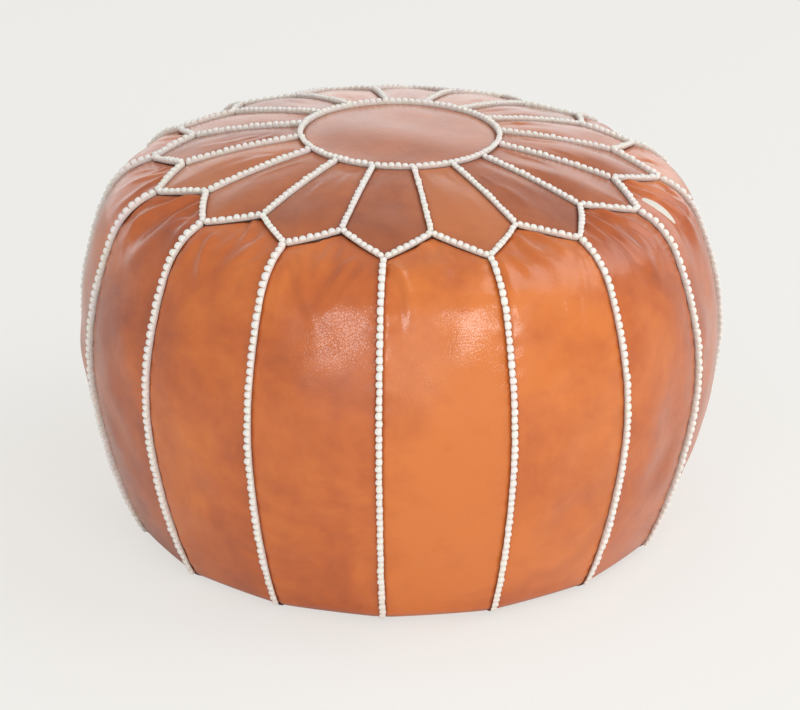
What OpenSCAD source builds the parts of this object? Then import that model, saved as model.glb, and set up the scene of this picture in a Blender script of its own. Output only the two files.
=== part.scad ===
// Stuffed leather pouf: a round stitched cover of petals and tall side panels,
// with raised embroidered seams, a zipped base, a cotton liner and a filling.

/* [Overall size] */
// Diameter of the leather cover at its widest
pouf_d = 550; // [520:1:700]
// Height from the floor to the middle of the top
pouf_h = 346; // [330:1:370]
// Height of the widest place above the floor
widest_z = 165; // [158:1:175]

/* [Outline] */
// Radius of the shallow dome on top
crown_r = 743; // [650:1:900]
// Radius of the rounded shoulder
shoulder_r = 60; // [45:1:75]
// Radius of the side, seen from the front
side_r = 307; // [280:1:340]
// Radius of the turn onto the floor
foot_r = 25; // [18:1:32]

/* [Pattern] */
// Number of petals, and of side panels
panel_count = 16; // [12:2:16]
// Turn of the pattern about the axis, from +X to the first spoke
pattern_turn = 7.9; // [0:0.1:22]
// Radius of the round medallion, to the middle of its seam
medallion_r = 83; // [60:1:110]
// Radius where two petals meet at their outer corner
spoke_end_r = 182; // [165:1:185]
// Radius of a petal's outer tip
petal_tip_r = 211; // [200:1:213]

/* [Leather and seams] */
// Thickness of the cover leather
leather_t = 1.4; // [1:0.1:2]
// Gap between two leather edges under a seam
seam_gap = 1.2; // [0.6:0.1:2]
// Width of an embroidered seam
braid_w = 4.6; // [3:0.1:7]
// Height of an embroidered seam above the leather
braid_h = 4.2; // [2:0.1:5]
// Height above the floor where the side embroidery ends
braid_end_z = 8; // [6:0.5:20]
// Clearance between pieces that lie on each other
fit_gap = 0.3; // [0.2:0.05:0.5]

/* [Base] */
// Width of the cover that lies flat on the floor, from the foot to the base seam
under_w = 20.8; // [17:0.1:24]
// Diameter of the piping in the base seam
piping_d = 1.3; // [1:0.1:1.4]
// Depth of the dish that keeps the zip off the floor
dish_h = 9; // [8.5:0.1:12]
// Width of the flat ring between the base seam and the slope of the dish
dish_rim_w = 21; // [14:0.5:24]
// Width of the slope around the dish
dish_slope_w = 15; // [12:1:17]

/* [Zip] */
// Distance from a tape's end to the edge of the dish's flat middle
tape_margin = 14; // [6:1:24]
// Gap between an end stop and the end of the slit
slit_end_gap = 4; // [2:0.5:8]
// Gap between the slider and the long edges of the slit
slit_side_gap = 0.8; // [0.5:0.1:2]
// Length of an end stop
stop_l = 3; // [2:0.5:4]
// Thickness of the zip tape
tape_t = 0.7; // [0.5:0.1:0.9]
// Width of the zip tape on each side
tape_w = 17; // [13:1:20]
// Length of tape past an end stop
tape_tail = 14; // [8:1:16]
// Half the width of the closed coils
coil_half_w = 3.1; // [2.6:0.1:3.3]
// Height of the coils below the tape
coil_h = 2.2; // [1.6:0.1:2.4]
// Distance from one coil turn to the next
coil_pitch = 3; // [2.4:0.2:4]
// Reach of a coil turn past the middle of the zip
coil_hook = 1; // [0.6:0.1:1.4]
// Width of the rib that joins the coil turns
coil_rib_w = 0.9; // [0.6:0.1:1.2]

/* [Slider and pull] */
// Length of the slider
slider_l = 13; // [12:0.5:16]
// Thickness of the slider's two plates
slider_plate_t = 1.2; // [1:0.1:1.4]
// Thickness of the slider's side walls
slider_wall_t = 0.8; // [0.6:0.1:1]
// Thickness of the post that parts the coils
post_w = 1; // [0.8:0.1:1.2]
// Length of the post along the zip
post_l = 4; // [3:0.5:5]
// Distance from the post to the slider's leading end
post_set = 1; // [0.6:0.1:2]
// Length of the window that the pull turns in
bridge_window_l = 8; // [7:0.5:9]
// Thickness and width of the bridge
bridge_t = 1.2; // [1:0.1:1.5]
// Thickness of the pull, and diameter of its pin
pull_t = 1.6; // [1.2:0.1:1.8]
// Width of the pull
pull_w = 7.8; // [7:0.1:9]
// Length of the pull from its pin to its round end
pull_l = 26; // [20:1:27]
// Diameter of the hole in the pull
pull_hole_d = 3; // [2:0.1:4]

/* [Liner and filling] */
// Thickness of the cotton liner
liner_t = 0.8; // [0.5:0.1:1]
// Clearance between the leather, the liner and the filling
soft_gap = 0.5; // [0.4:0.05:0.7]
// Radius of the opening that the filling goes in through
neck_r = 60; // [40:1:80]
// Overlap of the flap that closes the liner
flap_lap = 15; // [10:1:25]
// Clearance between the slider and the liner
slider_room = 0.8; // [0.5:0.1:2]
// Distance between the liner and the slope of the dish
slope_room = 2; // [1:0.5:4]

/* [Hidden] */
function two_digits(i) = i < 10 ? str("0", i) : str(i);

leather_colour = "#c26a33";
top_colour = "#bd6f42";
base_colour = "#8f4d26";
braid_colour = "#ece4d4";
piping_colour = "#4a2a18";
tape_colour = "#6d4a30";
brass_colour = "#b8924f";
cotton_colour = "#e8e2d4";
filling_colour = "#f3f0e8";

pitch = 360 / panel_count;
half_pitch = pitch / 2;
round_fn = 96;
reach = pouf_d;

// Outline: crown, shoulder, side and foot arcs, each tangent to the next.
crown_c = [0, pouf_h - crown_r];
side_c = [pouf_d / 2 - side_r, widest_z];
foot_c = [side_c[0] + sqrt(pow(side_r - foot_r, 2) - pow(widest_z - foot_r, 2)), foot_r];
shoulder_c = circles_meet(crown_c, crown_r - shoulder_r, side_c, side_r - shoulder_r);
crown_end = direction(crown_c, shoulder_c);
shoulder_end = direction(side_c, shoulder_c);
side_end = direction(side_c, foot_c);

// The right-hand point where two circles cross.
function circles_meet(a, ra, b, rb) =
    let (
        d = norm(b - a),
        along = (d * d + ra * ra - rb * rb) / (2 * d),
        side = sqrt(ra * ra - along * along),
        u = (b - a) / d
    )
    a + along * u + side * [u[1], -u[0]];
function direction(a, b) = atan2(b[1] - a[1], b[0] - a[0]);
function arc(c, r, from, to, n) =
    [for (i = [0:n]) let (t = from + (to - from) * i / n) c + r * [cos(t), sin(t)]];

// Each stretch of the outline, moved inwards by d.
function crown(d) = arc(crown_c, crown_r - d, 90, crown_end, 8);
function shoulder(d) = arc(shoulder_c, shoulder_r - d, crown_end, shoulder_end, 6);
function side(d) = arc(side_c, side_r - d, shoulder_end, side_end, 12);
function foot(d) = arc(foot_c, foot_r - d, side_end, -90, 4);
function skip_first(list) = [for (i = [1:len(list) - 1]) list[i]];
function backwards(list) = [for (i = [len(list) - 1:-1:0]) list[i]];
function outline(d) =
    concat(crown(d), skip_first(shoulder(d)), skip_first(side(d)), skip_first(foot(d)));

// Star through the spoke ends and petal tips, with its edges moved out by d.
edge_distance = spoke_end_r * petal_tip_r * sin(half_pitch)
    / norm([petal_tip_r * cos(half_pitch) - spoke_end_r, petal_tip_r * sin(half_pitch)]);
function star(d) =
    [for (k = [0:2 * panel_count - 1])
        let (
            r = (k % 2 == 0 ? spoke_end_r : petal_tip_r) * (edge_distance + d) / edge_distance,
            t = pattern_turn + k * half_pitch
        )
        r * [cos(t), sin(t)]];

// Wedge between two seam planes, with its sides moved inwards by d.
function wedge(d) =
    let (apex = d / sin(half_pitch))
    [[apex, 0],
     [apex + reach * cos(half_pitch), -reach * sin(half_pitch)],
     [apex + reach * cos(half_pitch), reach * sin(half_pitch)]];

// The leather panels and the braids on them part above this height.
top_cut_z = shoulder_c[1];

module star_block(d) {
    translate([0, 0, top_cut_z])
        linear_extrude(pouf_h)
            polygon(star(d));
}

module wedge_block(angle, d) {
    rotate([0, 0, angle])
        translate([0, 0, -1])
            linear_extrude(pouf_h + 20)
                polygon(wedge(d));
}

// One pitch of a revolved band, centred on an angle.
module band(angle, points) {
    rotate([0, 0, angle - half_pitch])
        rotate_extrude(angle = pitch, $fn = round_fn)
            polygon(points);
}

module cover_band(angle, low, high) {
    band(angle, concat(outline(low), backwards(outline(high))));
}

module medallion_hole(d) {
    cylinder(h = 2 * pouf_h, r = medallion_r + d, $fn = round_fn);
}

module top_medallion() {
    color(top_colour)
        intersection() {
            rotate_extrude($fn = round_fn)
                polygon(concat(crown(0), backwards(crown(leather_t))));
            medallion_hole(-seam_gap / 2);
        }
}

module petal(i) {
    angle = pattern_turn + (i - 0.5) * pitch;
    color(top_colour)
        difference() {
            intersection() {
                cover_band(angle, 0, leather_t);
                wedge_block(angle, seam_gap / 2);
                star_block(-seam_gap / 2);
            }
            medallion_hole(seam_gap / 2);
        }
}

// The base seam lies inside the foot, and the side panels reach in to its piping.
base_r = foot_c[0] - under_w;
side_inner_r = base_r + piping_d / 2 + fit_gap;

// Side panels sit under the spokes, half a pitch away from the petals.
module side_panel(i) {
    angle = pattern_turn + (i - 1) * pitch;
    color(leather_colour)
        difference() {
            intersection() {
                band(angle, concat(
                    outline(0),
                    [[side_inner_r, 0], [side_inner_r, leather_t]],
                    backwards(outline(leather_t))
                ));
                wedge_block(angle, seam_gap / 2);
            }
            star_block(seam_gap / 2);
        }
}

// Braids ride a fit gap above the leather.
braid_low = -fit_gap;
braid_high = -fit_gap - braid_h;

module medallion_braid() {
    color(braid_colour)
        difference() {
            intersection() {
                rotate_extrude($fn = round_fn)
                    polygon(concat(crown(braid_high), backwards(crown(braid_low))));
                medallion_hole(braid_w / 2);
            }
            medallion_hole(-braid_w / 2);
        }
}

module radial_slab(angle, start_r) {
    rotate([0, 0, angle])
        translate([start_r, -braid_w / 2, 0])
            cube([reach, braid_w, pouf_h + 20]);
}

module spoke_braids() {
    color(braid_colour)
        for (i = [0:panel_count - 1])
            difference() {
                intersection() {
                    cover_band(pattern_turn + i * pitch, braid_high, braid_low);
                    radial_slab(pattern_turn + i * pitch, medallion_r / 2);
                    star_block(-braid_w / 2 - fit_gap);
                }
                medallion_hole(braid_w / 2 + fit_gap);
            }
}

module petal_edge_braid() {
    color(braid_colour)
        intersection() {
            rotate_extrude($fn = round_fn)
                polygon(concat(outline(braid_high), backwards(outline(braid_low))));
            difference() {
                star_block(braid_w / 2);
                star_block(-braid_w / 2);
            }
        }
}

module side_braids() {
    color(braid_colour)
        for (i = [0:panel_count - 1])
            difference() {
                intersection() {
                    cover_band(pattern_turn + (i + 0.5) * pitch, braid_high, braid_low);
                    radial_slab(pattern_turn + (i + 0.5) * pitch, base_r / 2);
                    translate([0, 0, braid_end_z])
                        cylinder(h = 2 * pouf_h, r = reach, $fn = round_fn);
                }
                star_block(braid_w / 2 + fit_gap);
            }
}

// Base: two halves that meet at the zip, dished so that the zip clears the floor.
base_edge_r = base_r - piping_d / 2 - fit_gap;
slope_r = base_edge_r - dish_rim_w;
dish_r = slope_r - dish_slope_w;
function lifted(points, h) = [for (p = points) p + [0, h]];
dish = [[0, dish_h], [dish_r, dish_h], [slope_r, 0], [base_edge_r, 0]];

// The zip fills the flat middle of the dish, and the slit leaves room for its stops and slider.
stop_x = dish_r - tape_margin - tape_tail;
slider_half_w = coil_half_w + fit_gap + slider_wall_t;
slit_half_l = stop_x + stop_l + slit_end_gap;
slit_half_w = slider_half_w + slit_side_gap;

module base_half(angle) {
    color(base_colour)
        difference() {
            rotate([0, 0, angle])
                rotate_extrude(angle = 180, $fn = round_fn)
                    polygon(concat(dish, backwards(lifted(dish, leather_t))));
            translate([-reach, -seam_gap / 2, -1])
                cube([2 * reach, seam_gap, dish_h + 20]);
            translate([-slit_half_l, -slit_half_w, -1])
                cube([2 * slit_half_l, 2 * slit_half_w, dish_h + 20]);
        }
}

module base_half_front() {
    base_half(180);
}

module base_half_back() {
    base_half(0);
}

module base_piping() {
    color(piping_colour)
        rotate_extrude($fn = round_fn)
            translate([base_r, piping_d / 2 + fit_gap / 2])
                circle(d = piping_d, $fn = 32);
}

// Zip heights, counted up from the floor.
tape_z = dish_h + leather_t;
coil_z = tape_z - coil_h;
plate_z = coil_z - fit_gap - slider_plate_t;
top_plate_z = tape_z + tape_t + fit_gap;
tape_inner_y = post_w / 2 + fit_gap;

module zip_tape(side) {
    color(tape_colour)
        translate([-stop_x - tape_tail, side > 0 ? tape_inner_y : -tape_w, tape_z])
            cube([2 * (stop_x + tape_tail), tape_w - tape_inner_y, tape_t]);
}

module zip_tape_front() {
    zip_tape(-1);
}

module zip_tape_back() {
    zip_tape(1);
}

// Slider at rest: closed, against the top stops.
slider_x = stop_x - fit_gap - slider_l / 2;
post_x = slider_x + slider_l / 2 - post_l - post_set;
coil_turn_l = coil_pitch / 2 - fit_gap;
coil_turns = floor((post_x - fit_gap + stop_x - 2 * coil_pitch) / coil_pitch);

// A rib along the tape's edge with turns that reach between those of the other coil.
module zip_coil(side) {
    mirror([0, side > 0 ? 0 : 1, 0])
        color(brass_colour) {
            translate([-stop_x + fit_gap, coil_half_w - coil_rib_w, coil_z])
                cube([2 * (stop_x - fit_gap), coil_rib_w, coil_h]);
            for (k = [0:coil_turns])
                translate([-stop_x + fit_gap + (k + (side > 0 ? 0 : 0.5)) * coil_pitch,
                           -coil_hook, coil_z])
                    cube([coil_turn_l, coil_half_w + coil_hook - coil_rib_w / 2, coil_h]);
        }
}

module zip_coil_front() {
    zip_coil(-1);
}

module zip_coil_back() {
    zip_coil(1);
}

module zip_top_stops() {
    color(brass_colour)
        for (side = [0, 1])
            mirror([0, side, 0])
                translate([stop_x, tape_inner_y, coil_z])
                    cube([stop_l, coil_half_w - tape_inner_y, coil_h]);
}

module zip_bottom_stop() {
    color(brass_colour)
        translate([-stop_x - stop_l, -coil_half_w, coil_z])
            cube([stop_l, 2 * coil_half_w, coil_h]);
}

window_h = pull_t + 2 * fit_gap;
pin_z = plate_z - window_h / 2;

module slider_plate(z) {
    translate([slider_x - slider_l / 2, -slider_half_w, z])
        cube([slider_l, 2 * slider_half_w, slider_plate_t]);
}

module zip_slider() {
    color(brass_colour) {
        slider_plate(plate_z);
        slider_plate(top_plate_z);
        translate([post_x, -post_w / 2, plate_z])
            cube([post_l, post_w, top_plate_z - plate_z + slider_plate_t]);
        for (side = [0, 1])
            mirror([0, side, 0])
                translate([slider_x - slider_l / 2, coil_half_w + fit_gap, plate_z])
                    cube([slider_l, slider_wall_t, tape_z - fit_gap - plate_z]);
        for (end = [0, 1])
            translate([slider_x, 0, 0])
                mirror([end, 0, 0])
                    translate([bridge_window_l / 2, -bridge_t / 2, plate_z - window_h - bridge_t])
                        cube([bridge_t, bridge_t, window_h + bridge_t + slider_plate_t / 2]);
        translate([slider_x - bridge_window_l / 2 - bridge_t, -bridge_t / 2,
                   plate_z - window_h - bridge_t])
            cube([bridge_window_l + 2 * bridge_t, bridge_t, bridge_t]);
    }
}

// The pull lies along the zip at rest and turns about its pin in the bridge.
arm_gap = bridge_t + 4 * fit_gap;
arm_l = bridge_window_l / 2 + bridge_t + 3 * fit_gap + pull_t;

module zip_pull() {
    color(brass_colour)
        translate([slider_x, 0, pin_z]) {
            rotate([90, 0, 0])
                cylinder(h = pull_w, d = pull_t, center = true, $fn = 32);
            for (side = [0, 1])
                mirror([0, side, 0])
                    translate([-arm_l, arm_gap / 2, -pull_t / 2])
                        cube([arm_l, (pull_w - arm_gap) / 2, pull_t]);
            difference() {
                union() {
                    translate([pull_w / 2 - pull_l, -pull_w / 2, -pull_t / 2])
                        cube([pull_l - pull_w / 2 - arm_l + pull_t, pull_w, pull_t]);
                    translate([pull_w / 2 - pull_l, 0, -pull_t / 2])
                        cylinder(h = pull_t, d = pull_w, $fn = 48);
                }
                translate([pull_w / 2 - pull_l, 0, -pull_t])
                    cylinder(h = 2 * pull_t, d = pull_hole_d, $fn = 48);
            }
        }
}

// Liner and filling follow the outline inside the leather, raised over the slider.
flap_z = top_plate_z + slider_plate_t + slider_room;
liner_z = flap_z + liner_t + fit_gap;
liner_d = leather_t + soft_gap;
filling_d = liner_d + liner_t + soft_gap;

// Half section of a bag that lies d inside the cover, from the top to the raised middle.
function bag(d, end_r) =
    let (rise = d - liner_d)
    concat(outline(d), [
        [slope_r + slope_room, d],
        [dish_r + slope_room / 2, liner_z + rise],
        [end_r, liner_z + rise]
    ]);

module liner_bag() {
    color(cotton_colour)
        rotate_extrude($fn = round_fn)
            polygon(concat(bag(liner_d, neck_r), backwards(bag(liner_d + liner_t, neck_r))));
}

module liner_flap() {
    color(cotton_colour)
        translate([0, 0, flap_z])
            cylinder(h = liner_t, r = neck_r + flap_lap, $fn = round_fn);
}

module filling() {
    color(filling_colour)
        rotate_extrude($fn = round_fn)
            polygon(bag(filling_d, 0));
}

top_medallion();
for (i = [1:panel_count])
    petal(i);
for (i = [1:panel_count])
    side_panel(i);
medallion_braid();
spoke_braids();
petal_edge_braid();
side_braids();
base_half_front();
base_half_back();
base_piping();
zip_tape_front();
zip_tape_back();
zip_coil_front();
zip_coil_back();
zip_top_stops();
zip_bottom_stop();
zip_slider();
zip_pull();
liner_bag();
liner_flap();
filling();
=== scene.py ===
import math

import bpy
import numpy as np
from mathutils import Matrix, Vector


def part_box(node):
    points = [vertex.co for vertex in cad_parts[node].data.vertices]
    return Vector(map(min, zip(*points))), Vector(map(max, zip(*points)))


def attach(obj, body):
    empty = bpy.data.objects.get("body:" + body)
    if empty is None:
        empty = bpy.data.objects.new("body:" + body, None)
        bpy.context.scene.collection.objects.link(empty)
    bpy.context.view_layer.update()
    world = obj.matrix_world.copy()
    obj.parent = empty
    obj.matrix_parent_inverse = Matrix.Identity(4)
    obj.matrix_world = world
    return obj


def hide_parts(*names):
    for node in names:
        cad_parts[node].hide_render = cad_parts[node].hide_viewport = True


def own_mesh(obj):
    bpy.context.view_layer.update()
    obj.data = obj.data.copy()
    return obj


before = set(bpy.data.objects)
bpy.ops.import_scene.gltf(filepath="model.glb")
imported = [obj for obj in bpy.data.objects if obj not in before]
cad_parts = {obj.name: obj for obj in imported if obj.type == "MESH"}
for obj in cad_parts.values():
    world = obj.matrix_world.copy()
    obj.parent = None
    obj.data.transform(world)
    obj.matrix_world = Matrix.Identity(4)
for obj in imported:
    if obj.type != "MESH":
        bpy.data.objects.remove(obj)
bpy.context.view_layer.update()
mm = 0.001

# the outline that the whole cover follows, as four arcs that run into each other
cover = {
    "crownRadius": 743 * mm,
    "shoulderRadius": 60 * mm,
    "sideRadius": 307 * mm,
    "footRadius": 25 * mm,
    "widestHeight": 165 * mm,
    "panels": 16,
    "turn": math.radians(7.9),       # from +X to the first spoke
    "medallionRadius": 83 * mm,
    "spokeEnd": 182 * mm,
    "petalTip": 211 * mm,
    "petalArch": 1.8 * mm,           # how far a petal's edge bows out
    # how much further out each hand-sewn tip sits, in turn from the first spoke
    "tipDrift": np.array([2, -1, 3, 0, -2, 2, 4, -1, 1, 0, -3, 1, 4, 4, 5, 8]) * mm,
    "lean": 0.018,                   # the stuffed top sits a little lower on the right
    # how far the cover lies inside the outline, by radius on the top and by height on the side
    "slackTop": ([0, 83, 182, 211], [0, 1.0, 3.5, 4.6]),
    "slackSide": ([0, 10, 30, 60, 100, 130, 165, 200, 250, 290],
                  [0, 0.4, 2.4, 5.0, 6.2, 5.2, 3.4, 2.6, 3.8, 4.8]),
    "leather": 1.3 * mm,
    "gap": 0.5 * mm,                 # from a seam to each leather edge
    "baseSeam": 1.9 * mm,            # from the base's edge to the side panels, over the piping
    "seamShade": 2.6 * mm,           # how far the painted shade beside a seam reaches
}
pitch = 2 * math.pi / cover["panels"]


# the points of a CAD node's mesh, one row each
def nodePoints(name):
    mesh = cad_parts[name].data
    flat = np.empty(len(mesh.vertices) * 3, np.float32)
    mesh.vertices.foreach_get("co", flat)
    return flat.reshape(-1, 3).astype(float)


panelNames = ["side_panel_%02d" % (k + 1) for k in range(cover["panels"])]
petalNames = ["petal_%02d" % (k + 1) for k in range(cover["panels"])]
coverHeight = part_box("top_medallion")[1].z
coverRadius = max(np.hypot(*nodePoints(n)[:, :2].T).max() for n in panelNames[:4])
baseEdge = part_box("base_half_front")[1].x


# Outline: points, outward normals and arc length of the tangent arcs. Two arcs inside each other touch
# where the line through their centres meets them, so the shoulder's centre is where two circles cross.
def coverOutline(inset=0.0):
    crownC = np.array([0, coverHeight - cover["crownRadius"]])
    sideC = np.array([coverRadius - cover["sideRadius"], cover["widestHeight"]])
    drop = cover["widestHeight"] - cover["footRadius"]
    reach = cover["sideRadius"] - cover["footRadius"]
    footC = np.array([sideC[0] + math.sqrt(reach ** 2 - drop ** 2), cover["footRadius"]])
    a = cover["crownRadius"] - cover["shoulderRadius"]
    b = cover["sideRadius"] - cover["shoulderRadius"]
    line = sideC - crownC
    d = math.hypot(*line)
    along = (d * d + a * a - b * b) / (2 * d)
    off = math.sqrt(a * a - along * along)
    unit = line / d
    shoulderC = crownC + along * unit + off * np.array([unit[1], -unit[0]])

    def heading(p, q):
        return math.atan2(q[1] - p[1], q[0] - p[0])

    stops = [math.pi / 2, heading(crownC, shoulderC), heading(sideC, shoulderC),
             heading(sideC, footC), -math.pi / 2]
    arcs = [(crownC, "crownRadius", 240), (shoulderC, "shoulderRadius", 160),
            (sideC, "sideRadius", 400), (footC, "footRadius", 120)]
    points, normals = [], []
    for (centre, key, count), start, end in zip(arcs, stops[:-1], stops[1:]):
        t = np.linspace(start, end, count)
        n = np.stack([np.cos(t), np.sin(t)], 1)
        points.append(centre + (cover[key] - inset) * n)
        normals.append(n)
    floorR = np.linspace(footC[0], baseEdge, 20)
    points.append(np.stack([floorR, np.full(20, inset)], 1))
    normals.append(np.tile([0.0, -1.0], (20, 1)))
    p, n = np.concatenate(points), np.concatenate(normals)
    step = np.hypot(*np.diff(p, axis=0).T)
    keep = np.concatenate([[True], step > 1e-7])
    p, n = p[keep], n[keep]
    s = np.concatenate([[0], np.cumsum(np.hypot(*np.diff(p, axis=0).T))])
    return p, n, s


outP, outN, outS = coverOutline()


# the outline's radius at an arc length, read between its points
def radiusAt(s):
    return np.interp(s, outS, outP[:, 0])


# the arc length where the top, inside the widest ring, has a radius
def lengthAtRadius(r):
    top = outP[:, 0].argmax()
    return np.interp(r, outP[:top, 0], outS[:top])


# the arc length where the outline comes down to a height
def lengthAtHeight(z):
    return np.interp(-z, -outP[:, 1], outS)


topR, topSlack = cover["slackTop"]
sideZ, sideSlack = cover["slackSide"]
slackS = np.concatenate([lengthAtRadius(np.array(topR) * mm), lengthAtHeight(np.array(sideZ)[::-1] * mm)])
slackD = np.concatenate([topSlack, sideSlack[::-1]]) * mm


# a point of the cover: the outline at arc length s, less its slack, turned to angle theta, moved out
# along its normal by lift and away from the axis by push, then lowered to one side near the top
def coverPoint(theta, s, lift=0.0, push=0.0):
    lift = lift - np.interp(s, slackS, slackD)
    r = radiusAt(s) + np.interp(s, outS, outN[:, 0]) * lift + push
    z = np.interp(s, outS, outP[:, 1]) + np.interp(s, outS, outN[:, 1]) * lift
    x = r * np.cos(theta)
    z = z - cover["lean"] * x * np.clip(z / coverHeight, 0, 1) ** 2
    return np.stack([x, r * np.sin(theta), z], -1)


# radius of the petals' zigzag edge at an angle: a straight line from spoke end to tip, bowed out
def zigzagRadius(theta):
    half = pitch / 2
    a = np.abs((theta - cover["turn"] + half) % pitch - half)
    which = np.floor((theta - cover["turn"]) / pitch + 1e-9).astype(int) % cover["panels"]
    tip = cover["petalTip"] + cover["tipDrift"][which]
    spoke = cover["spokeEnd"]
    tipX, tipY = tip * math.cos(half), tip * math.sin(half)
    straight = spoke * tipY / (tipY * np.cos(a) - (tipX - spoke) * np.sin(a))
    t = a / half
    return straight + cover["petalArch"] * 4 * t * (1 - t)


# smooth lumps: a sum of plane waves of one wavelength, with seeded directions and phases
def lumps(points, wavelength, seed, count=9):
    rng = np.random.default_rng(seed)
    axes = rng.normal(size=(count, 3))
    axes *= (2 * math.pi / wavelength) / np.linalg.norm(axes, axis=1, keepdims=True)
    axes *= rng.uniform(0.7, 1.3, (count, 1))
    phase = rng.uniform(0, 2 * math.pi, count)
    return np.sin(points @ axes.T + phase).sum(-1) / math.sqrt(count / 2)


foldShape = {
    "startWidth": 0.6,       # shares of a fold's width: at its start, and gained by its end
    "grow": 0.9,
    "hollowDepth": 0.7,      # the hollow beside the ridge: its depth, place and width
    "hollowAt": 1.7,
    "hollowWidth": 1.1,
    "fadeIn": 0.12,          # shares of the length over which the two ends fade
    "fadeOut": 0.55,
}


# a fold: a rounded ridge with a hollow beside it, along a line that bows a little, fading at both ends
def fold(x, y, start, end, width, height, bow=0.0):
    (x0, y0), (x1, y1) = start, end
    length = math.hypot(x1 - x0, y1 - y0)
    ux, uy = (x1 - x0) / length, (y1 - y0) / length
    t = ((x - x0) * ux + (y - y0) * uy) / length
    inside = np.clip(t, 0, 1)
    q = (x - x0) * -uy + (y - y0) * ux - bow * np.sin(math.pi * inside)
    w = width * (foldShape["startWidth"] + foldShape["grow"] * inside)
    hollow = np.exp(-((q - foldShape["hollowAt"] * w) / (foldShape["hollowWidth"] * w)) ** 2)
    ridge = np.exp(-(q / w) ** 2) - foldShape["hollowDepth"] * hollow
    fade = np.clip(t / foldShape["fadeIn"] + 0.3, 0, 1) * np.clip((1 - t) / foldShape["fadeOut"], 0, 1)
    fade = fade * fade * (3 - 2 * fade)
    return height * ridge * fade


# steps from -1 to 1 that lie closer near both ends, as a sine's do
def edgeSpread(count, crowd=0.9):
    t = np.linspace(-1, 1, count) * math.pi / 2 * crowd
    return np.sin(t) / math.sin(math.pi / 2 * crowd)


# how close a place is to a seam, from 1 on it down to 0; it places the painted shade beside the seams and
# their rougher leather
def seamNear(toSeam):
    return np.exp(-(toSeam / cover["seamShade"]) ** 2)


# a smooth mesh object in the scene, from points and faces
def addMesh(name, points, faces):
    mesh = bpy.data.meshes.new(name)
    mesh.from_pydata(points.tolist(), [], faces if isinstance(faces, list) else faces.tolist())
    mesh.polygons.foreach_set("use_smooth", np.ones(len(mesh.polygons), bool))
    obj = bpy.data.objects.new(name, mesh)
    bpy.context.scene.collection.objects.link(obj)
    return obj


# faces of a grid of rows by columns; a closed grid joins its last column to its first
def gridFaces(rows, cols, closed=False):
    i = np.arange(rows - 1)[:, None]
    j = np.arange(cols if closed else cols - 1)[None, :]
    k = (j + 1) % cols
    a, b = i * cols + j, i * cols + k
    return np.stack([a, b, b + cols, a + cols], -1).reshape(-1, 4)


# triangles that join one middle point to a closed ring of points
def fanFaces(middle, ring, count, flip=False):
    j = np.arange(count)
    a, b = ring + j, ring + (j + 1) % count
    if flip:
        a, b = b, a
    return np.stack([np.full(count, middle), a, b], -1).tolist()


# several pieces of points and faces, put into one mesh object
def joined(name, parts):
    points, faces, start = [], [], 0
    for p, f in parts:
        points.append(p)
        faces += [[i + start for i in row] for row in f]
        start += len(p)
    return addMesh(name, np.vstack(points), faces)


# one number for each point, which a material reads by name
def setFloat(obj, name, values):
    attribute = obj.data.attributes.new(name, "FLOAT", "POINT")
    attribute.data.foreach_set("value", np.asarray(values, np.float32).ravel())


# one pair for each point, copied to the face corners
def setUv(obj, uv):
    layer = obj.data.uv_layers.new(name="surface")
    corners = np.empty(len(obj.data.loops), np.int32)
    obj.data.loops.foreach_get("vertex_index", corners)
    layer.data.foreach_set("uv", uv[corners].astype(np.float32).ravel())


# the mesh is the outside; the thickness goes inwards
def thicken(obj, amount):
    shell = obj.modifiers.new("leather", "SOLIDIFY")
    shell.thickness = amount
    shell.offset = -1
    shell.use_even_offset = False


# a piece's material, the body it moves with and the CAD nodes it stands for
def place(obj, body, slotName, material, *replaced):
    obj.data.materials.append(material)
    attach(obj, body)
    if replaced:
        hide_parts(*replaced)
    return obj


# a new material with its shader, and two helpers that add a node and join two sockets
def nodeTools(name):
    material = bpy.data.materials.new(name)
    material.use_nodes = True
    tree = material.node_tree
    shader = tree.nodes["Principled BSDF"]

    def add(kind, **settings):
        node = tree.nodes.new(kind)
        for key, value in settings.items():
            setattr(node, key, value)
        return node

    def join(a, b):
        tree.links.new(a, b)

    return material, shader, add, join


# a bump over a height socket, joined to the shader's normal
def addRelief(add, join, shader, height, strength, distance):
    relief = add("ShaderNodeBump")
    relief.inputs["Strength"].default_value = strength
    relief.inputs["Distance"].default_value = distance
    join(height, relief.inputs["Height"])
    join(relief.outputs["Normal"], shader.inputs["Normal"])
    return relief.outputs["Normal"]


leatherLook = {
    "light": (0.66, 0.172, 0.024),
    "middle": (0.525, 0.115, 0.016),
    "dark": (0.35, 0.066, 0.012),
    "mottle": 9.0,          # per metre
    "pores": 620.0,
    "crackle": 380.0,
    "rough": (0.28, 0.44),
    "polish": 0.55,         # share of the smooth waxed finish on top
    # painted shade beside the seams: close to a seam the tans are multiplied towards this colour
    "seamShadeTint": (0.42, 0.24, 0.16),
    "seamShadeShare": 0.55,       # how much of the painted seam shade shows right beside it
    "relief": 0.30,
    "reliefDepth": 0.6 * mm,
}
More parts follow.
